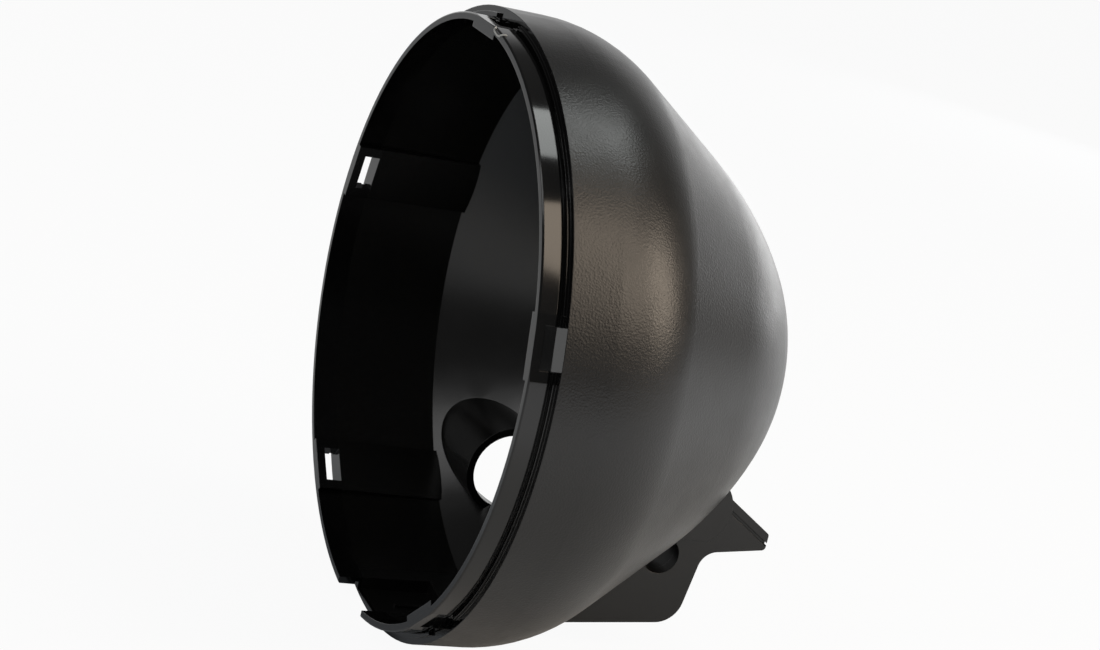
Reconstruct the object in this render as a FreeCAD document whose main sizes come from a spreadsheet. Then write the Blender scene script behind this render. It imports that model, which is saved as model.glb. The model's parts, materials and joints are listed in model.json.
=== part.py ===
import FreeCAD, Part
import Sketcher
import os

# Headlight housing for a motorbike lamp, moulded in one piece in black plastic.
# The origin is the centre of the collar's front edge. The lamp's axis is Y, the mouth faces -Y,
# the bowl closes towards +Y, and Z is up. Lengths are in millimetres and angles in degrees.

NODE = "headlight_housing"

SIZES = [
    ("collar_radius", 92.0),
    ("collar_wall", 2.2),
    ("collar_length", 7.6),
    ("rim_chamfer", 0.4),
    ("groove_start", 5.5),
    ("groove_width", 1.1),
    ("groove_depth", 0.9),
    ("ridge_height", 1.3),
    ("shoulder_step", 3.2),
    ("housing_depth", 116.3),
    ("band_length", 29.6),
    ("band_draft", 1.0),
    ("knee_radius", 47.0),
    ("cone_angle", 36.0),
    ("flank_share", 1.64),
    ("nose_share", 0.93),
    ("bowl_wall", 2.4),
    ("inner_draft", 1.5),
    ("window_width", 11.8),
    ("window_front", 2.7),
    ("side_window_angle", 75.5),
    ("lower_window_angle", 141.0),
    ("pad_width", 18.3),
    ("pad_cut", 0.46),
    ("pad_wall", 3.84),
    ("recess_width", 24.8),
    ("recess_length", 30.0),
    ("recess_wall", 2.9),
    ("rib_width", 1.4),
    ("rib_height", 0.9),
    ("rib_start", 15.0),
    ("rib_length", 12.0),
    ("cable_y", 58.6),
    ("cable_drop", 57.9),
    ("cable_radius", 12.5),
    ("cable_wall", 2.4),
    ("cable_reach", 37.0),
    ("cable_rounding", 1.0),
    ("bracket_width", 28.0),
    ("cheek_wall", 4.0),
    ("bracket_front", 45.0),
    ("bracket_front_drop", 88.5),
    ("foot_y", 103.5),
    ("foot_drop", 83.8),
    ("foot_fillet", 8.5),
    ("neck_y", 107.1),
    ("neck_drop", 59.5),
    ("neck_fillet", 6.0),
    ("wing_tip_y", 128.2),
    ("wing_tip_drop", 56.7),
    ("wing_tip_height", 5.4),
    ("wing_fillet", 1.3),
    ("roof_angle", 33.0),
    ("roof_root", 34.0),
    ("roof_wall", 4.6),
    ("lip_wall", 2.5),
    ("slit_width", 1.0),
    ("slit_depth", 1.4),
    ("bolt_y", 92.8),
    ("bolt_drop", 61.7),
    ("bolt_radius", 6.0),
    ("boss_y", 99.5),
    ("boss_drop", 44.5),
    ("boss_radius", 12.0),
    ("boss_proud", 3.0),
    ("boss_flat_drop", 54.5),
    ("overshoot", 2.0),
]

# Places on the bowl's section that follow from the sizes: the knee between band and cone,
# and the two arcs that close the bowl, tangent to the cone and square to the axis.
DERIVED = [
    ("cone_sin", "sin(sheet.cone_angle * 1 deg)"),
    ("cone_cos", "cos(sheet.cone_angle * 1 deg)"),
    ("cone_tan", "tan(sheet.cone_angle * 1 deg)"),
    ("draft_tan", "tan(sheet.band_draft * 1 deg)"),
    ("shoulder_radius", "sheet.collar_radius + sheet.shoulder_step"),
    ("corner_y", "sheet.collar_length + sheet.band_length"),
    ("corner_z", "shoulder_radius - draft_tan * sheet.band_length"),
    ("knee_reach", "sheet.knee_radius * tan((sheet.cone_angle - sheet.band_draft) / 2 * 1 deg)"),
    ("knee_start_y", "corner_y - knee_reach * cos(sheet.band_draft * 1 deg)"),
    ("knee_start_z", "corner_z + knee_reach * sin(sheet.band_draft * 1 deg)"),
    ("knee_end_y", "corner_y + knee_reach * cone_cos"),
    ("knee_end_z", "corner_z - knee_reach * cone_sin"),
    ("cone_drop", "cone_cos * corner_z - cone_sin * (sheet.housing_depth - corner_y)"),
    ("one_arc_radius", "cone_drop / (1 - cone_sin)"),
    ("nose_radius", "sheet.nose_share * one_arc_radius"),
    ("flank_radius", "sheet.flank_share * one_arc_radius"),
    ("nose_centre", "sheet.housing_depth - nose_radius"),
    ("spread", "flank_radius - nose_radius"),
    ("gap", "cone_cos * corner_z + cone_sin * (corner_y - nose_centre) - nose_radius"),
    ("shift", "sqrt(2 * spread * gap - gap * gap)"),
    ("flank_centre_y", "nose_centre - cone_sin * (spread - gap) - cone_cos * shift"),
    ("flank_centre_z", "cone_sin * shift - cone_cos * (spread - gap)"),
    ("nose_turn_y", "(nose_centre - flank_centre_y) / spread"),
    ("nose_turn_z", "-flank_centre_z / spread"),
    ("inner_radius", "sheet.collar_radius - sheet.collar_wall"),
    ("inner_tan", "tan(sheet.inner_draft * 1 deg)"),
    ("inner_cone_z", "corner_z + cone_tan * corner_y - sheet.bowl_wall / cone_cos"),
    ("inner_edge_y", "(inner_cone_z - inner_radius) / (cone_tan - inner_tan)"),
    ("inner_edge_z", "inner_radius - inner_tan * inner_edge_y"),
    ("flat_distance", "sheet.collar_radius - sheet.pad_cut"),
    ("pad_distance", "flat_distance - sheet.pad_wall"),
    ("recess_floor", "shoulder_radius - sheet.recess_wall"),
    ("roof_cos", "cos(sheet.roof_angle * 1 deg)"),
    ("roof_tan", "tan(sheet.roof_angle * 1 deg)"),
    ("lip_tip_drop", "sheet.wing_tip_drop - sheet.wing_tip_height"),
    ("roof_root_y", "sheet.wing_tip_y - sheet.roof_root"),
    ("roof_root_drop", "lip_tip_drop - roof_tan * sheet.roof_root"),
]

UPRIGHT = "rotation(vector(0; 0; 1); 0)"
ZERO = "0"

doc = FreeCAD.newDocument("headlight")
sheet = doc.addObject("Spreadsheet::Sheet", "sheet")
for row, (alias, size) in enumerate(SIZES, start=1):
    sheet.set(f"A{row}", alias)
    sheet.set(f"B{row}", str(size))
    sheet.setAlias(f"B{row}", alias)
derived = doc.addObject("Spreadsheet::Sheet", "derived")
for row, (alias, formula) in enumerate(DERIVED, start=1):
    derived.set(f"A{row}", alias)
    derived.set(f"B{row}", "=" + formula)
    derived.setAlias(f"B{row}", alias)
doc.recompute()


def number(expression):
    """Value that an expression over the two sheets has now."""
    return float(derived.evalExpression(expression))


def fix_point(sketch, axis, edge, point, expression):
    """Hold a sketch point's distance along X or Y at an expression."""
    distance = number(expression)
    if expression == ZERO:
        line = {"X": -2, "Y": -1}[axis]
        sketch.addConstraint(Sketcher.Constraint("PointOnObject", edge, point, line))
        return
    ends = (-1, 1, edge, point)
    if distance < 0:
        ends = (edge, point, -1, 1)
        expression = f"-({expression})"
    index = sketch.addConstraint(Sketcher.Constraint("Distance" + axis, *ends, abs(distance)))
    sketch.setExpression(f"Constraints[{index}]", expression)


def side_sketch(body, name, corners):
    """Closed outline in the YZ plane of a body.

    A corner is its two coordinates as expressions, and the radius of the arc that leads to the
    next corner, or None for a straight edge. The arcs bulge away from the axis.
    """
    sketch = body.newObject("Sketcher::SketchObject", name)
    plane = next(item for item in body.Origin.OriginFeatures if item.Role == "YZ_Plane")
    sketch.AttachmentSupport = [(plane, "")]
    sketch.MapMode = "FlatFace"
    places = [FreeCAD.Vector(number(y), number(z), 0) for y, z, _ in corners]
    nexts = places[1:] + places[:1]
    for start, end, (_, _, radius) in zip(places, nexts, corners):
        edge = Part.LineSegment(start, end)
        if radius is not None:
            half = (end - start) * 0.5
            rise = number(radius) - (number(radius) ** 2 - half.Length ** 2) ** 0.5
            outward = FreeCAD.Vector(-half.y, half.x, 0).normalize()
            edge = Part.Arc(start, start + half + outward * rise, end)
        sketch.addGeometry(edge, False)
    # A sketch arc runs counter-clockwise, so its first point is the corner's far end.
    first = [1 if radius is None else 2 for _, _, radius in corners]
    for edge in range(len(corners)):
        after = (edge + 1) % len(corners)
        join = Sketcher.Constraint("Coincident", edge, 3 - first[edge], after, first[after])
        sketch.addConstraint(join)
    for edge, (y, z, radius) in enumerate(corners):
        fix_point(sketch, "X", edge, first[edge], y)
        fix_point(sketch, "Y", edge, first[edge], z)
        if radius is not None:
            index = sketch.addConstraint(Sketcher.Constraint("Radius", edge, number(radius)))
            sketch.setExpression(f"Constraints[{index}]", radius)
    return sketch


def revolved(name, corners):
    """Solid turned from a half section about the lamp's axis."""
    body = doc.addObject("PartDesign::Body", name)
    sketch = side_sketch(body, name + "_section", corners)
    turn = body.newObject("PartDesign::Revolution", name + "_turn")
    turn.Profile = sketch
    turn.ReferenceAxis = (sketch, ["H_Axis"])
    turn.Angle = 360
    doc.recompute()
    return body


def padded(name, corners, width):
    """Plate with a side outline, centred on the lamp's middle plane."""
    body = doc.addObject("PartDesign::Body", name)
    pad = body.newObject("PartDesign::Pad", name + "_pad")
    pad.Profile = side_sketch(body, name + "_outline", corners)
    pad.SideType = "Symmetric"
    pad.setExpression("Length", width)
    doc.recompute()
    return body


def round_corners(body, name, corners, radius):
    """Round the cross-going edges of a plate at some of its outline's corners."""
    base = body.Tip
    spots = [(number(y), number(z)) for y, z, _ in corners]
    names = []
    for index, edge in enumerate(base.Shape.Edges, start=1):
        for y, z in spots:
            if all(abs(v.Y - y) < 1e-4 and abs(v.Z - z) < 1e-4 for v in edge.Vertexes):
                names.append(f"Edge{index}")
    fillet = body.newObject("PartDesign::Fillet", name)
    fillet.Base = (base, names)
    fillet.setExpression("Radius", radius)
    doc.recompute()


def moved(x, y, z, turn=UPRIGHT):
    """Placement expression for a shift and then a turn about the shifted point."""
    return f"placement(vector({x}; {y}; {z}); {turn})"


def block(name, size, place):
    """Box of three sizes at a placement."""
    box = doc.addObject("Part::Box", name)
    for side, expression in zip(("Length", "Width", "Height"), size):
        box.setExpression(side, expression)
    box.setExpression("Placement", place)
    return box


def rod(name, radius, length, place):
    """Cylinder at a placement."""
    cylinder = doc.addObject("Part::Cylinder", name)
    cylinder.setExpression("Radius", radius)
    cylinder.setExpression("Height", length)
    cylinder.setExpression("Placement", place)
    return cylinder


def fused(name, shapes):
    """Union of several solids."""
    union = doc.addObject("Part::MultiFuse", name)
    union.Shapes = shapes
    return union


def cut(name, base, tool):
    """One solid less another."""
    difference = doc.addObject("Part::Cut", name)
    difference.Base = base
    difference.Tool = tool
    return difference


def dome_corners(inset):
    """Corners of the bowl's rounded end, inside its outer face by an inset."""
    flank = f"(derived.flank_radius - {inset})"
    nose = f"(derived.nose_radius - {inset})"
    return [
        (
            f"derived.flank_centre_y + {flank} * derived.cone_sin",
            f"derived.flank_centre_z + {flank} * derived.cone_cos",
            flank,
        ),
        (
            f"derived.nose_centre + {nose} * derived.nose_turn_y",
            f"{nose} * derived.nose_turn_z",
            nose,
        ),
        (f"sheet.housing_depth - {inset}", ZERO, None),
    ]


# Outside: collar with its chamfered edge, sealing groove and ridge, then the shoulder and the bowl.
groove_end = "sheet.groove_start + sheet.groove_width"
groove_floor = "sheet.collar_radius - sheet.groove_depth"
ridge = "sheet.collar_radius + sheet.ridge_height"
shell = revolved("shell", [
    (ZERO, ZERO, None),
    (ZERO, "sheet.collar_radius - sheet.rim_chamfer", None),
    ("sheet.rim_chamfer", "sheet.collar_radius", None),
    ("sheet.groove_start", "sheet.collar_radius", None),
    ("sheet.groove_start", groove_floor, None),
    (groove_end, groove_floor, None),
    (groove_end, ridge, None),
    ("sheet.collar_length", ridge, None),
    ("sheet.collar_length", "derived.shoulder_radius", None),
    ("derived.knee_start_y", "derived.knee_start_z", "sheet.knee_radius"),
    ("derived.knee_end_y", "derived.knee_end_z", None),
    *dome_corners(ZERO),
])

# Inside: a drafted round wall that meets the dome at an edge.
cavity = revolved("cavity", [
    ("-sheet.overshoot", ZERO, None),
    ("-sheet.overshoot", "derived.inner_radius + derived.inner_tan * sheet.overshoot", None),
    ("derived.inner_edge_y", "derived.inner_edge_z", None),
    *dome_corners("sheet.bowl_wall"),
])

# Mounting bracket under the bowl: two cheeks below a sloping roof whose edge is a lip.
foot = ("sheet.foot_y", "-sheet.foot_drop", None)
neck = ("sheet.neck_y", "-sheet.neck_drop", None)
wing_tip = ("sheet.wing_tip_y", "-sheet.wing_tip_drop", None)
lip_tip = ("sheet.wing_tip_y", "-derived.lip_tip_drop", None)
bracket = padded("bracket", [
    ("sheet.bracket_front", "-sheet.bracket_front_drop", None),
    foot,
    neck,
    wing_tip,
    lip_tip,
    ("derived.roof_root_y", "-derived.roof_root_drop", None),
    ("sheet.bracket_front", "-derived.roof_root_drop", None),
], "sheet.bracket_width")
round_corners(bracket, "bracket_foot", [foot], "sheet.foot_fillet")
round_corners(bracket, "bracket_neck", [neck], "sheet.neck_fillet")
round_corners(bracket, "bracket_tips", [wing_tip, lip_tip], "sheet.wing_fillet")

# Space between the cheeks, open below and behind.
under_roof = "sheet.roof_wall / derived.roof_cos"
gap_end = "sheet.wing_tip_y + sheet.overshoot"
gap_floor = "-sheet.bracket_front_drop - sheet.overshoot"
bracket_gap = padded("bracket_gap", [
    ("sheet.bracket_front", gap_floor, None),
    (gap_end, gap_floor, None),
    (gap_end, f"-derived.lip_tip_drop - {under_roof} - sheet.overshoot * derived.roof_tan", None),
    ("derived.roof_root_y", f"-derived.roof_root_drop - {under_roof}", None),
    ("sheet.bracket_front", f"-derived.roof_root_drop - {under_roof}", None),
], "sheet.bracket_width - 2 * sheet.cheek_wall")

# Slit between the lip and each cheek, along the roof's slope.
on_roof = moved("0", "derived.roof_root_y", "-derived.roof_root_drop",
                "rotation(vector(1; 0; 0); -sheet.roof_angle)")
slit_size = ("sheet.slit_depth + sheet.overshoot", "sheet.roof_root / derived.roof_cos + sheet.overshoot",
             "sheet.slit_width")
slit_level = "-sheet.lip_wall - sheet.slit_width"
slit_x = "sheet.bracket_width / 2 - sheet.slit_depth"
slits = [
    block("slit_left", slit_size, f"{on_roof} * {moved(slit_x, '0', slit_level)}"),
    block("slit_right", slit_size, f"{on_roof} * {moved(f'-{slit_x} - {slit_size[0]}', '0', slit_level)}"),
]

# Rounded root of the bracket, proud of both cheeks and flat below.
across = "rotation(vector(0; 1; 0); 90)"
boss_width = "(sheet.bracket_width + 2 * sheet.boss_proud)"
boss_rod = rod("boss_rod", "sheet.boss_radius", boss_width,
               moved(f"-{boss_width} / 2", "sheet.boss_y", "-sheet.boss_drop", across))
boss_flat = block("boss_flat", (boss_width, "2 * sheet.boss_radius", "2 * sheet.boss_radius"),
                  moved(f"-{boss_width} / 2", "sheet.boss_y - sheet.boss_radius",
                        "-sheet.boss_flat_drop - 2 * sheet.boss_radius"))
boss = cut("boss", boss_rod, boss_flat)
blank = fused("blank", [shell, cut("open_bracket", bracket, fused("bracket_cuts", [bracket_gap, *slits])), boss])

# Clip windows round the collar, each in a pad that is flat outside and inside.
window_length = "sheet.collar_length - sheet.window_front"
window_depth = "sheet.pad_cut + sheet.pad_wall + sheet.ridge_height + 2 * sheet.overshoot"
pad_length = "sheet.housing_depth + sheet.overshoot"
windows = []
flats = []
pads = []
window_angles = [
    ("top", "0"),
    ("left", "sheet.side_window_angle"),
    ("right", "-sheet.side_window_angle"),
    ("lower_left", "sheet.lower_window_angle"),
    ("lower_right", "-sheet.lower_window_angle"),
]
for side, angle in window_angles:
    turned = moved("0", "0", "0", f"rotation(vector(0; 1; 0); {angle})")
    windows.append(block(
        f"window_{side}",
        ("sheet.window_width", window_length, window_depth),
        f"{turned} * {moved('-sheet.window_width / 2', 'sheet.window_front', 'derived.pad_distance - sheet.overshoot')}",
    ))
    flats.append(block(
        f"flat_{side}",
        ("sheet.pad_width", "sheet.collar_length + sheet.overshoot", "sheet.shoulder_step"),
        f"{turned} * {moved('-sheet.pad_width / 2', '-sheet.overshoot', 'derived.flat_distance')}",
    ))
    pads.append(block(
        f"pad_{side}",
        ("sheet.pad_width", pad_length, "sheet.pad_wall + sheet.overshoot"),
        f"{turned} * {moved('-sheet.pad_width / 2', '-sheet.overshoot', 'derived.pad_distance')}",
    ))

# Tube for the cable, level and across the lamp, from inside the bowl out through its right wall.
leftwards = "rotation(vector(0; 1; 0); -90)"
tube_rod = rod("tube_rod", "sheet.cable_radius + sheet.cable_wall", "derived.shoulder_radius",
               moved("-sheet.cable_reach", "sheet.cable_y", "-sheet.cable_drop", leftwards))
cable_bore = rod("cable_bore", "sheet.cable_radius", "derived.shoulder_radius",
                 moved("-sheet.cable_reach / 2", "sheet.cable_y", "-sheet.cable_drop", leftwards))
core = cut("core", cavity, fused("inner_forms", [*pads, tube_rod]))

# Recess for the lens ring's screw at the bottom of the collar, with a small rib on its floor.
recess_height = "derived.recess_floor - derived.inner_radius + sheet.recess_width / 2"
recess_block = block("recess_block", ("sheet.recess_width", "sheet.recess_length + sheet.overshoot", recess_height),
                     moved("-sheet.recess_width / 2", "-sheet.overshoot", "-derived.recess_floor"))
rib = block("rib", ("sheet.rib_width", "sheet.rib_length", "sheet.rib_height"),
            moved("-sheet.rib_width / 2", "sheet.rib_start", "-derived.recess_floor"))
recess = cut("recess", recess_block, rib)

bolt_length = "(sheet.bracket_width + 2 * sheet.overshoot)"
bolt_bore = rod("bolt_bore", "sheet.bolt_radius", bolt_length,
                moved(f"-{bolt_length} / 2", "sheet.bolt_y", "-sheet.bolt_drop", across))

cuts = fused("cuts", [core, *windows, *flats, recess, cable_bore, bolt_bore])
housing = cut(NODE, blank, cuts)
housing.Refine = True
housing.Label = NODE
doc.recompute()

for item in doc.Objects:
    if "Invalid" in item.State or "Error" in item.State:
        raise RuntimeError(f"{item.Name} failed: {item.State}")
if housing.Shape.isNull() or not housing.Shape.isValid() or len(housing.Shape.Solids) != 1:
    raise RuntimeError(f"{NODE} isn't one valid solid")
os.makedirs("parts", exist_ok=True)
housing.Shape.exportStep(f"parts/{housing.Label}.step")
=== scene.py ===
"""Looks of a motorbike headlight housing: one black plastic moulding in a white studio."""

import json
import logging
import math
from dataclasses import dataclass
from enum import Enum
from typing import Any

import bpy
from mathutils import Matrix, Vector


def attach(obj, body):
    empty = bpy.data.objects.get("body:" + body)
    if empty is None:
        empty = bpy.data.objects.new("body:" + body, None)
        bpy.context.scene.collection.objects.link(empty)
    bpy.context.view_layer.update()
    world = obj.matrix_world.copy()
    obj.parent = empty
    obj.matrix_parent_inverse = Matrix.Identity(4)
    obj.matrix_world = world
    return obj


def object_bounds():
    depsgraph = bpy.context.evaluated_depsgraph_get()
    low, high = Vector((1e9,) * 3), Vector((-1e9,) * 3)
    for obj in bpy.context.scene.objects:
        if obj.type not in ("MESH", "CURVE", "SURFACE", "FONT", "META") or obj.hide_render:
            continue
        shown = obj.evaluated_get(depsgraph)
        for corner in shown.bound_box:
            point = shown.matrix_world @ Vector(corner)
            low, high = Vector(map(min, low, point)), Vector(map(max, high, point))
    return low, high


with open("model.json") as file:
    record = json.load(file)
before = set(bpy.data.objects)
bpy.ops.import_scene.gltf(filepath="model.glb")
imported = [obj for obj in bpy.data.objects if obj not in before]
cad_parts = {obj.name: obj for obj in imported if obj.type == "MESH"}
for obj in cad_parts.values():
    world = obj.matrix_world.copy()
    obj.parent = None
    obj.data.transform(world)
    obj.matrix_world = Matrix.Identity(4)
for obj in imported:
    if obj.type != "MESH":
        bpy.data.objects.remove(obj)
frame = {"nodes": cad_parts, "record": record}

LOG = logging.getLogger("headlight_housing")
MM = 0.001
CAD_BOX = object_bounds()

Socket = bpy.types.NodeSocket
Tree = bpy.types.NodeTree
Triple = tuple[float, float, float]


def linear(hex_colour: str) -> tuple[float, float, float, float]:
    """Turn an sRGB hex colour into linear values.

    Args:
        hex_colour: six hex digits with a leading hash.

    Returns:
        Linear red, green, blue and an alpha of one.
    """
    channels = [int(hex_colour[start:start + 2], 16) / 255 for start in (1, 3, 5)]
    scaled = [c / 12.92 if c <= 0.04045 else ((c + 0.055) / 1.055) ** 2.4 for c in channels]
    return (scaled[0], scaled[1], scaled[2], 1.0)


def add_node(
    tree: Tree, kind: str, inputs: dict[Any, Any] | None = None, **settings: Any
) -> bpy.types.Node:
    """Add a node, set its properties and fill or link its inputs.

    Inputs that share a name go by number. On a Mix node 0 is the share, 2 and 3 are its two
    numbers and 6 and 7 its two colours. On a Map Range node 0 is the value, 1 and 2 are the
    range that it comes from and 3 and 4 the range that it goes to.

    Args:
        tree: the node tree that gets the node.
        kind: Blender's name of the node type.
        inputs: input name or number to a value, or to a socket to link from.
        settings: properties of the node itself.

    Returns:
        The new node.
    """
    node = tree.nodes.new(kind)
    for name, value in settings.items():
        setattr(node, name, value)
    for key, value in (inputs or {}).items():
        if isinstance(value, Socket):
            tree.links.new(value, node.inputs[key])
        else:
            node.inputs[key].default_value = value
    return node


def empty_material(name: str) -> bpy.types.Material:
    """Start a material whose node tree is empty.

    Args:
        name: name of the material.

    Returns:
        The new material.
    """
    material = bpy.data.materials.new(name)
    material.use_nodes = True
    material.node_tree.nodes.clear()
    return material


def put_in_scene(item: bpy.types.Object) -> None:
    """Link an object into the scene."""
    bpy.context.scene.collection.objects.link(item)


def join_housing(item: bpy.types.Object) -> None:
    """Link a piece into the scene and let it ride with the housing.

    Args:
        item: a piece that belongs to the moulding.
    """
    put_in_scene(item)
    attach(item, "root")


class Shade(Enum):
    """Kinds of light in the studio, by their colour."""

    COOL = "#F2F6F4"
    WARM = "#FFECD6"
    WHITE = "#FFFFFF"


@dataclass(frozen=True)
class Face:
    """Finish of one region of the moulding.

    Attributes:
        colour: sRGB colour of the plastic there.
        roughness: mean roughness of the surface.
        grain: depth of the moulded grain in millimetres.
    """

    colour: str
    roughness: float
    grain: float


@dataclass(frozen=True)
class MouldedAbs:
    """Black ABS as it leaves the mould.

    The tool was etched on the outside, which gives a fine satin grain. It was polished at the
    collar and left smooth on the core, so those faces mirror what is round them.

    Attributes:
        outside: finish of the bowl's outer face.
        collar: finish of the collar.
        core: finish of the faces that look inwards.
        bracket: finish of the bracket.
        ior: refractive index of ABS.
        grain_size: width of one cell of the grain in millimetres.
        grain_softness: how far neighbouring cells of the grain melt together.
        smear_size: width of one patch dulled by handling, in millimetres.
        smear_detail: octaves of finer patches in each patch.
        smear_fineness: strength of each octave against the one before.
        smear_range: noise values at which a surface is glossiest and dullest.
        smear_gain: what roughness is multiplied by at those values.
        edge_radius: rounding of the edges in millimetres.
        edge_rays: samples that find the edges.
        collar_end: where the collar ends along the lamp's axis, in millimetres.
        middle: point that the inside faces, in millimetres.
        bracket_top: height under which the bracket lies, in millimetres.
        bracket_half: half of the width that holds the bracket, in millimetres.
        bracket_facing: how squarely a face may look outwards and still be the bracket's.
    """

    outside: Face = Face("#121212", 0.33, 0.044)
    collar: Face = Face("#0C0C0C", 0.09, 0.0)
    core: Face = Face("#0F0F0E", 0.24, 0.0)
    bracket: Face = Face("#0F0F0F", 0.32, 0.006)
    ior: float = 1.54
    # Drawn coarser than such a grain usually is, because a finer one wouldn't show in the render.
    grain_size: float = 0.62
    grain_softness: float = 0.6
    smear_size: float = 14.0
    smear_detail: float = 4.0
    smear_fineness: float = 0.6
    smear_range: tuple[float, float] = (0.35, 0.75)
    smear_gain: tuple[float, float] = (0.94, 1.14)
    edge_radius: float = 0.35
    edge_rays: int = 4
    collar_end: float = 7.65
    middle: Triple = (0.0, 40.0, 0.0)
    bracket_top: float = -38.0
    bracket_half: float = 17.5
    bracket_facing: float = 0.6

    def build(self) -> bpy.types.Material:
        """Make the material.

        Returns:
            A material whose finish changes from region to region.
        """
        material = empty_material("moulded_black_abs")
        tree = material.node_tree
        place = add_node(tree, "ShaderNodeTexCoord").outputs["Object"]
        masks = self.masks(tree, place)
        shader = add_node(tree, "ShaderNodeBsdfPrincipled", {
            "Base Color": self.colour(tree, masks),
            "Roughness": self.roughness(tree, place, masks),
            "Normal": self.relief(tree, place, masks),
            "IOR": self.ior,
        })
        add_node(tree, "ShaderNodeOutputMaterial", {"Surface": shader.outputs["BSDF"]})
        return material

    def masks(self, tree: Tree, place: Socket) -> dict[str, Socket]:
        """Find the collar, the inside and the bracket from place and facing.

        Args:
            tree: the material's node tree.
            place: position in the housing's frame.

        Returns:
            One socket for each region, 1 inside it and 0 elsewhere.
        """
        axes = add_node(tree, "ShaderNodeSeparateXYZ", {"Vector": place}).outputs
        centre = tuple(MM * value for value in self.middle)
        arm = add_node(tree, "ShaderNodeVectorMath", {0: place, 1: centre}, operation="SUBTRACT")
        arm = add_node(tree, "ShaderNodeVectorMath", {0: arm.outputs[0]}, operation="NORMALIZE")
        facing = add_node(tree, "ShaderNodeNewGeometry").outputs["True Normal"]
        outward = add_node(tree, "ShaderNodeVectorMath", {0: facing, 1: arm.outputs[0]},
                           operation="DOT_PRODUCT").outputs["Value"]
        side = add_node(tree, "ShaderNodeMath", {0: axes["X"]}, operation="ABSOLUTE").outputs[0]
        limits = {
            "inside": (outward, 0.0),
            "front": (axes["Y"], MM * self.collar_end),
            "sideways": (outward, self.bracket_facing),
            "low": (axes["Z"], MM * self.bracket_top),
            "narrow": (side, MM * self.bracket_half),
        }
        under = {}
        for name, (value, limit) in limits.items():
            test = add_node(tree, "ShaderNodeMath", {0: value, 1: limit}, operation="LESS_THAN")
            under[name] = test.outputs[0]
        bracket = under["sideways"]
        for name in ("low", "narrow"):
            both = add_node(tree, "ShaderNodeMath", {0: bracket, 1: under[name]}, operation="MULTIPLY")
            bracket = both.outputs[0]
        return {"core": under["inside"], "bracket": bracket, "collar": under["front"]}

    def by_region(self, tree: Tree, masks: dict[str, Socket], quality: str) -> Socket:
        """Pick one of a face's numbers for each region.

        Args:
            tree: the material's node tree.
            masks: the regions' sockets.
            quality: name of the number in Face.

        Returns:
            A socket with the number of the region that shows.
        """
        result: Any = getattr(self.outside, quality)
        for region, mask in masks.items():
            own = getattr(getattr(self, region), quality)
            mix = add_node(tree, "ShaderNodeMix", {0: mask, 2: result, 3: own}, data_type="FLOAT")
            result = mix.outputs[0]
        return result

    def colour(self, tree: Tree, masks: dict[str, Socket]) -> Socket:
        """Give each region its black.

        Args:
            tree: the material's node tree.
            masks: the regions' sockets.

        Returns:
            The base colour socket.
        """
        result: Any = linear(self.outside.colour)
        for region, mask in masks.items():
            own = linear(getattr(self, region).colour)
            mix = add_node(tree, "ShaderNodeMix", {0: mask, 6: result, 7: own}, data_type="RGBA")
            result = mix.outputs[2]
        return result

    def roughness(self, tree: Tree, place: Socket, masks: dict[str, Socket]) -> Socket:
        """Give each region its gloss, dulled here and there by handling.

        Args:
            tree: the material's node tree.
            place: position in the housing's frame.
            masks: the regions' sockets.

        Returns:
            The roughness socket.
        """
        base = self.by_region(tree, masks, "roughness")
        smear = add_node(tree, "ShaderNodeTexNoise", {
            "Vector": place,
            "Scale": 1 / (MM * self.smear_size),
            "Detail": self.smear_detail,
            "Roughness": self.smear_fineness,
        })
        glossiest, dullest = self.smear_range
        least, most = self.smear_gain
        gain = add_node(tree, "ShaderNodeMapRange", {
            0: smear.outputs[0], 1: glossiest, 2: dullest, 3: least, 4: most,
        }).outputs[0]
        return add_node(tree, "ShaderNodeMath", {0: base, 1: gain}, operation="MULTIPLY").outputs[0]

    def relief(self, tree: Tree, place: Socket, masks: dict[str, Socket]) -> Socket:
        """Round the edges a little and raise the moulded grain.

        Args:
            tree: the material's node tree.
            place: position in the housing's frame.
            masks: the regions' sockets.

        Returns:
            The normal socket.
        """
        depth = self.by_region(tree, masks, "grain")
        cells = add_node(tree, "ShaderNodeTexVoronoi", {
            "Vector": place,
            "Scale": 1 / (MM * self.grain_size),
            "Smoothness": self.grain_softness,
        }, feature="SMOOTH_F1").outputs["Distance"]
        height = add_node(tree, "ShaderNodeMath", {0: cells, 1: depth}, operation="MULTIPLY").outputs[0]
        edge = add_node(tree, "ShaderNodeBevel", {"Radius": MM * self.edge_radius}, samples=self.edge_rays)
        # The height is in millimetres, and Distance turns it into metres.
        bump = add_node(tree, "ShaderNodeBump", {
            "Height": height, "Distance": MM, "Strength": 1.0, "Normal": edge.outputs[0],
        })
        return bump.outputs[0]


@dataclass
class Housing:
    """The moulding itself, whose form is the CAD solid.

    Attributes:
        node: name of the solid in the frame.
        finish: what it is moulded from.
    """

    node: str = "headlight_housing"
    finish: MouldedAbs = MouldedAbs()

    def dress(self) -> bpy.types.Object:
        """Give the solid its finish.

        Returns:
            The housing's object.
        """
        solid = frame["nodes"][self.node]
        solid.material_slots[0].material = self.finish.build()
        return solid


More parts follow.
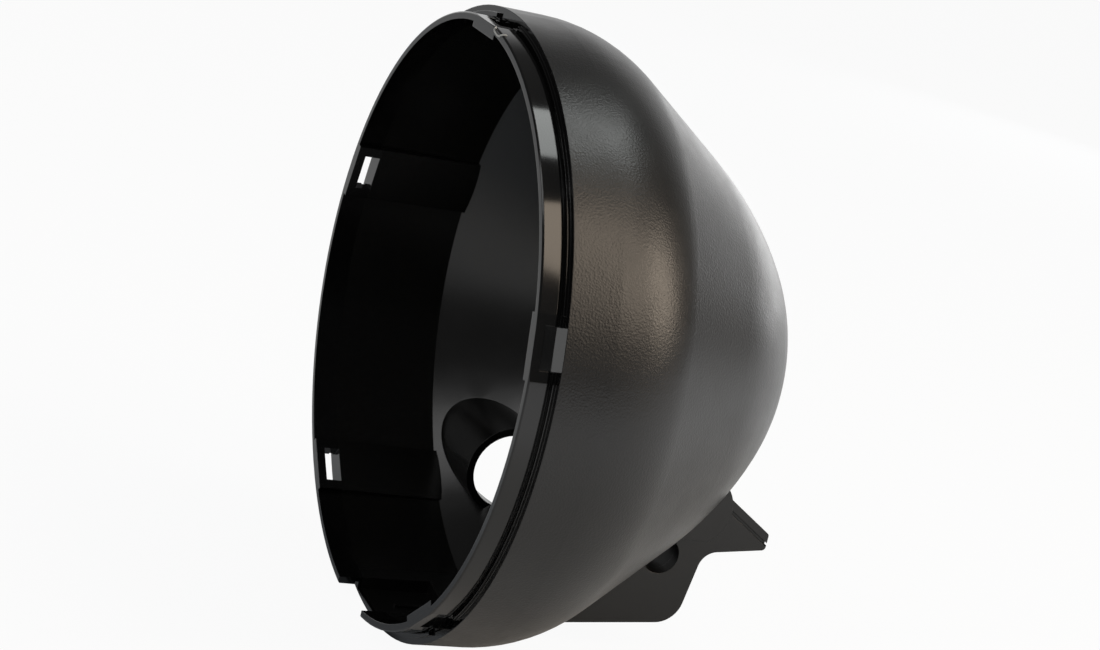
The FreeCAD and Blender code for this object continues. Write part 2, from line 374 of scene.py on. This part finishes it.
@dataclass
class BoltSleeve:
    """Moulded sleeve that carries the bolt from one cheek of the bracket to the other.

    Attributes:
        mount: name of the bolt's mount in the record.
        wall: thickness of the sleeve in millimetres.
        cheek: thickness of each cheek that it ends at, in millimetres.
        sides: number of flats round it.
    """

    mount: str = "bracket_bolt"
    wall: float = 1.6
    cheek: float = 4.0
    sides: int = 64

    def build(self, finish: bpy.types.Material) -> bpy.types.Object:
        """Make the sleeve.

        Args:
            finish: the housing's own material.

        Returns:
            The sleeve's object.
        """
        bolt = next(item for item in frame["record"]["mounts"] if item["name"] == self.mount)
        inner = MM * bolt["dims"]["r_mm"]
        outer = inner + MM * self.wall
        reach = MM * (bolt["dims"]["length_mm"] / 2 - self.cheek)
        section = ((inner, -reach), (inner, reach), (outer, reach), (outer, -reach))
        _, along, drop = bolt["pos_m"]
        points = []
        for step in range(self.sides):
            turn = math.tau * step / self.sides
            points += [(x, along + r * math.cos(turn), drop + r * math.sin(turn)) for r, x in section]
        mesh = bpy.data.meshes.new("bolt_sleeve")
        mesh.from_pydata(points, [], self.faces(len(section)))
        mesh.materials.append(finish)
        item = bpy.data.objects.new("bolt_sleeve", mesh)
        join_housing(item)
        return item

    def faces(self, count: int) -> list[tuple[int, int, int, int]]:
        """Join each section of the sleeve to the next, all the way round.

        Args:
            count: number of points in a section.

        Returns:
            The four points of each face.
        """
        faces = []
        for step in range(self.sides):
            here = count * step
            there = count * ((step + 1) % self.sides)
            for edge in range(count):
                after = (edge + 1) % count
                faces.append((here + edge, there + edge, there + after, here + after))
        return faces


@dataclass(frozen=True)
class WhitenedAbs:
    """Black ABS drawn out thin, whose stretched skin scatters light and reads pale grey.

    Attributes:
        colour: sRGB colour where it is stretched most.
        blotch: sRGB colour where it is stretched least.
        blotch_size: length of one blotch in millimetres.
        roughness: roughness of the skin.
        ior: refractive index of ABS.
    """

    colour: str = "#E4E4E0"
    blotch: str = "#9A9A96"
    blotch_size: float = 1.2
    roughness: float = 0.45
    ior: float = 1.54

    def build(self) -> bpy.types.Material:
        """Make the material, paler and darker along the thread.

        Returns:
            The thread's material.
        """
        material = empty_material("stress_whitened_abs")
        tree = material.node_tree
        place = add_node(tree, "ShaderNodeTexCoord").outputs["Object"]
        noise = add_node(tree, "ShaderNodeTexNoise", {
            "Vector": place, "Scale": 1 / (MM * self.blotch_size),
        })
        tone = add_node(tree, "ShaderNodeMix", {
            0: noise.outputs[0], 6: linear(self.blotch), 7: linear(self.colour),
        }, data_type="RGBA")
        shader = add_node(tree, "ShaderNodeBsdfPrincipled", {
            "Base Color": tone.outputs[2], "Roughness": self.roughness, "IOR": self.ior,
        })
        add_node(tree, "ShaderNodeOutputMaterial", {"Surface": shader.outputs["BSDF"]})
        return material


@dataclass
class FlashCurl:
    """Curl of moulding flash left on the rim near the top window.

    Attributes:
        route: points on the rim's face and then on the collar, in millimetres.
        radius: half the thread's thickness in millimetres.
        order: order of the smooth line that follows the route.
        finish: what the thread is made of.
    """

    route: tuple[Triple, ...] = (
        (9.7, -0.1, 91.5), (8.6, -0.1, 90.6), (10.3, -0.1, 90.1), (13.3, -0.1, 89.6),
        (14.9, -0.1, 90.4), (15.7, 0.5, 90.8), (16.0, 1.3, 90.7),
    )
    radius: float = 0.30
    order: int = 3
    finish: WhitenedAbs = WhitenedAbs()

    def build(self) -> bpy.types.Object:
        """Make the thread along a smooth line that follows its route.

        Returns:
            The thread's object.
        """
        curve = bpy.data.curves.new("flash_curl", "CURVE")
        curve.dimensions = "3D"
        curve.bevel_depth = MM * self.radius
        curve.use_fill_caps = True
        line = curve.splines.new("NURBS")
        line.points.add(len(self.route) - 1)
        for point, place in zip(line.points, self.route):
            point.co = (*(MM * value for value in place), 1.0)
        line.order_u = self.order
        line.use_endpoint_u = True
        curve.materials.append(self.finish.build())
        item = bpy.data.objects.new("flash_curl", curve)
        join_housing(item)
        return item


@dataclass
class Softbox:
    """A rectangular lamp that faces the housing.

    Attributes:
        name: name of the lamp.
        azimuth: degrees round the housing, 0 in front of its mouth and 90 at its +X side.
        elevation: degrees above the horizon.
        distance: metres from the housing.
        width: metres across.
        height: metres tall.
        radiance: brightness of its face, where 1 is white.
        shade: colour of its light.
    """

    name: str
    azimuth: float
    elevation: float
    distance: float
    width: float
    height: float
    radiance: float
    shade: Shade

    def place(self, aim: Vector) -> bpy.types.Object:
        """Put the lamp up.

        Args:
            aim: the point that it faces.

        Returns:
            The lamp's object.
        """
        turn = math.radians(self.azimuth)
        rise = math.radians(self.elevation)
        way = Vector((math.sin(turn) * math.cos(rise), -math.cos(turn) * math.cos(rise), math.sin(rise)))
        lamp = bpy.data.lights.new(self.name, "AREA")
        lamp.shape = "RECTANGLE"
        lamp.size = self.width
        lamp.size_y = self.height
        lamp.energy = self.radiance * math.pi * self.width * self.height
        lamp.color = linear(self.shade.value)[:3]
        item = bpy.data.objects.new(self.name, lamp)
        item.location = aim + way * self.distance
        item.rotation_euler = way.to_track_quat("Z", "Y").to_euler()
        item.visible_camera = False
        put_in_scene(item)
        return item


@dataclass(frozen=True)
class WhitePaper:
    """Matt white paper on the floor.

    The camera sees it as almost even white with a faint shadow. Mirrored in the plastic it glows
    with painted shade: darker close to the housing and in front of it, as if the housing kept
    the light off it there.

    Attributes:
        colour: sRGB colour of the paper.
        shown: share of plain white in what the camera sees.
        shadow_reach: metres from the middle at which the mirrored painted shadow starts to fade and ends.
        shadow_level: brightness of the mirrored paper in that painted shadow.
        front_shade_level: brightness of the mirrored paper in front of the housing, where shade is painted.
        side: cosine to either side between which front turns into back.
        back: direction in which the mirrored paper is brightest.
    """

    colour: str = "#ECF1F6"
    shown: float = 0.94
    shadow_reach: tuple[float, float] = (0.09, 0.40)
    shadow_level: float = 0.04
    front_shade_level: float = 0.25
    side: float = 0.6
    back: Triple = (0.174, 0.985, 0.0)

    def build(self) -> bpy.types.Material:
        """Make the material.

        Returns:
            The paper's material.
        """
        material = empty_material("white_paper")
        tree = material.node_tree
        path = add_node(tree, "ShaderNodeLightPath").outputs
        seen = add_node(tree, "ShaderNodeMath", {
            0: path["Is Camera Ray"], 1: path["Is Transmission Ray"],
        }, operation="MAXIMUM").outputs[0]
        mirrored = add_node(tree, "ShaderNodeMath", {
            0: path["Is Glossy Ray"], 1: self.mirrored(tree),
        }, operation="MULTIPLY").outputs[0]
        share = add_node(tree, "ShaderNodeMath", {
            0: seen, 1: self.shown, 2: mirrored,
        }, operation="MULTIPLY_ADD").outputs[0]
        paper = add_node(tree, "ShaderNodeBsdfDiffuse", {"Color": linear(self.colour)})
        glow = add_node(tree, "ShaderNodeEmission", {"Color": linear(Shade.WHITE.value), "Strength": 1.0})
        mix = add_node(tree, "ShaderNodeMixShader", {0: share, 1: paper.outputs[0], 2: glow.outputs[0]})
        add_node(tree, "ShaderNodeOutputMaterial", {"Surface": mix.outputs[0]})
        return material

    def mirrored(self, tree: Tree) -> Socket:
        """Work out how bright the paper is in reflections, with its painted shade.

        Args:
            tree: the material's node tree.

        Returns:
            A socket that is 1 far behind the housing and less near it and in front.
        """
        place = add_node(tree, "ShaderNodeTexCoord").outputs["Object"]
        reach = add_node(tree, "ShaderNodeVectorMath", {0: place}, operation="LENGTH").outputs["Value"]
        near, far = self.shadow_reach
        # Painted shadow: the glow that reflections see is dimmed near the housing.
        shadow = add_node(tree, "ShaderNodeMapRange", {
            0: reach, 1: near, 2: far, 3: self.shadow_level, 4: 1.0,
        }, interpolation_type="SMOOTHSTEP").outputs[0]
        bearing = add_node(tree, "ShaderNodeVectorMath", {0: place}, operation="NORMALIZE").outputs[0]
        behind = add_node(tree, "ShaderNodeVectorMath", {
            0: bearing, 1: self.back,
        }, operation="DOT_PRODUCT").outputs["Value"]
        # Painted shade: the glow that reflections see is dimmed in front of the housing.
        front_shade = add_node(tree, "ShaderNodeMapRange", {
            0: behind, 1: -self.side, 2: self.side, 3: self.front_shade_level, 4: 1.0,
        }, interpolation_type="SMOOTHSTEP").outputs[0]
        return add_node(tree, "ShaderNodeMath", {0: front_shade, 1: shadow}, operation="MULTIPLY").outputs[0]


@dataclass(frozen=True)
class WhiteRoom:
    """Room round the housing: white to the camera, and a white wall in a dim room in reflections.

    Attributes:
        fill: strength of the even light that the room gives.
        dim: brightness of the room in reflections, away from the wall.
        away: direction of the wall, on the housing's far side from the camera.
        wall_sides: cosines from that direction at which the wall ends and is whole.
        wall_top: heights of a direction at which the wall ends and is whole.
    """

    fill: float = 0.2
    dim: float = 0.10
    away: Triple = (-0.912, 0.410, 0.0)
    wall_sides: tuple[float, float] = (0.58, 0.88)
    wall_top: tuple[float, float] = (0.66, 0.2)

    def build(self) -> bpy.types.World:
        """Make the world.

        Returns:
            The world, ready to be given to the scene.
        """
        world = bpy.data.worlds.new("studio")
        world.use_nodes = True
        tree = world.node_tree
        tree.nodes.clear()
        path = add_node(tree, "ShaderNodeLightPath").outputs
        room = add_node(tree, "ShaderNodeMix", {
            0: path["Is Glossy Ray"], 2: self.fill, 3: self.mirrored(tree),
        }, data_type="FLOAT").outputs[0]
        seen = add_node(tree, "ShaderNodeMath", {
            0: path["Is Camera Ray"], 1: path["Is Transmission Ray"],
        }, operation="MAXIMUM").outputs[0]
        strength = add_node(tree, "ShaderNodeMix", {0: seen, 2: room, 3: 1.0}, data_type="FLOAT").outputs[0]
        back = add_node(tree, "ShaderNodeBackground", {
            "Color": linear(Shade.WHITE.value), "Strength": strength,
        })
        add_node(tree, "ShaderNodeOutputWorld", {"Surface": back.outputs[0]})
        return world

    def mirrored(self, tree: Tree) -> Socket:
        """Work out how bright the room is in reflections.

        Args:
            tree: the world's node tree.

        Returns:
            A socket that is 1 on the wall and dim elsewhere.
        """
        way = add_node(tree, "ShaderNodeTexCoord").outputs["Generated"]
        behind = add_node(tree, "ShaderNodeVectorMath", {
            0: way, 1: self.away,
        }, operation="DOT_PRODUCT").outputs["Value"]
        rise = add_node(tree, "ShaderNodeSeparateXYZ", {"Vector": way}).outputs["Z"]
        wall: Any = 1.0
        for value, (none, whole) in ((behind, self.wall_sides), (rise, self.wall_top)):
            fade = add_node(tree, "ShaderNodeMapRange", {
                0: value, 1: none, 2: whole,
            }, interpolation_type="SMOOTHSTEP").outputs[0]
            wall = add_node(tree, "ShaderNodeMath", {0: fade, 1: wall}, operation="MULTIPLY").outputs[0]
        return add_node(tree, "ShaderNodeMapRange", {0: wall, 3: self.dim, 4: 1.0}).outputs[0]


@dataclass
class Studio:
    """White floor and room with soft lamps.

    Attributes:
        aim: point that the lamps face.
        floor_level: height of the floor in metres.
        floor_size: metres along each side of the floor.
        paper: what lies on the floor.
        room: what is round the housing.
        lamps: the softboxes.
    """

    aim: Vector
    floor_level: float
    floor_size: float = 6.0
    paper: WhitePaper = WhitePaper()
    room: WhiteRoom = WhiteRoom()
    # Azimuth, elevation, distance, width, height and radiance follow each lamp's name.
    lamps: tuple[Softbox, ...] = (
        Softbox("panel_near", 126.0, 38.0, 1.2, 0.42, 0.86, 3.9, Shade.WARM),
        Softbox("panel_far", 153.0, 25.0, 1.2, 0.28, 0.56, 9.0, Shade.WARM),
        Softbox("overhead_box", 184.0, 67.0, 1.2, 0.42, 0.36, 4.6, Shade.COOL),
        Softbox("front_panel", 15.0, 46.0, 1.2, 0.60, 0.60, 1.7, Shade.WHITE),
        Softbox("back_panel", 218.0, 3.0, 1.4, 0.90, 0.22, 2.2, Shade.WHITE),
    )

    def build(self) -> None:
        """Make the floor, the room and the lamps."""
        self.floor()
        bpy.context.scene.world = self.room.build()
        for lamp in self.lamps:
            lamp.place(self.aim)
            LOG.info("lamp %s", lamp.name)

    def floor(self) -> bpy.types.Object:
        """Lay the pale floor.

        Returns:
            The floor's object.
        """
        half = self.floor_size / 2
        outline = [(-half, -half, 0), (half, -half, 0), (half, half, 0), (-half, half, 0)]
        mesh = bpy.data.meshes.new("floor")
        mesh.from_pydata(outline, [], [(0, 1, 2, 3)])
        mesh.materials.append(self.paper.build())
        item = bpy.data.objects.new("floor", mesh)
        item.location = (self.aim.x, self.aim.y, self.floor_level)
        put_in_scene(item)
        return item


@dataclass
class PhotoCamera:
    """Camera at the photograph's viewing angle, leaning a little to one side.

    Attributes:
        place: position in millimetres.
        aim: point at the centre of the frame, in millimetres.
        lean: degrees that the frame is turned about the line of sight.
        lens: focal length in millimetres.
        film: width of the film in millimetres.
    """

    place: Triple = (666.6, -256.9, 197.2)
    aim: Triple = (14.2, 36.6, 7.9)
    lean: float = 14.07
    lens: float = 81.82
    film: float = 36.0

    def build(self) -> bpy.types.Object:
        """Set up the camera.

        Returns:
            The camera's object.
        """
        data = bpy.data.cameras.new("photo_camera")
        data.lens = self.lens
        data.sensor_width = self.film
        data.sensor_fit = "HORIZONTAL"
        item = bpy.data.objects.new("photo_camera", data)
        eye = MM * Vector(self.place)
        sight = MM * Vector(self.aim) - eye
        turn = sight.to_track_quat("-Z", "Y").to_matrix().to_4x4()
        roll = Matrix.Rotation(math.radians(self.lean), 4, "Z")
        item.matrix_world = Matrix.Translation(eye) @ turn @ roll
        put_in_scene(item)
        bpy.context.scene.camera = item
        return item


def main() -> None:
    """Build the scene, piece by piece."""
    logging.basicConfig(level=logging.INFO)
    bpy.context.scene.view_settings.view_transform = "Standard"
    low, high = CAD_BOX
    middle = (Vector(low) + Vector(high)) / 2
    camera = PhotoCamera().build()
    LOG.info("camera %s", camera.name)
    Studio(aim=middle, floor_level=low[2]).build()
    solid = Housing().dress()
    LOG.info("housing %s", solid.name)
    sleeve = BoltSleeve().build(solid.material_slots[0].material)
    LOG.info("sleeve %s", sleeve.name)
    curl = FlashCurl().build()
    LOG.info("curl %s", curl.name)


if __name__ == "__main__":
    main()
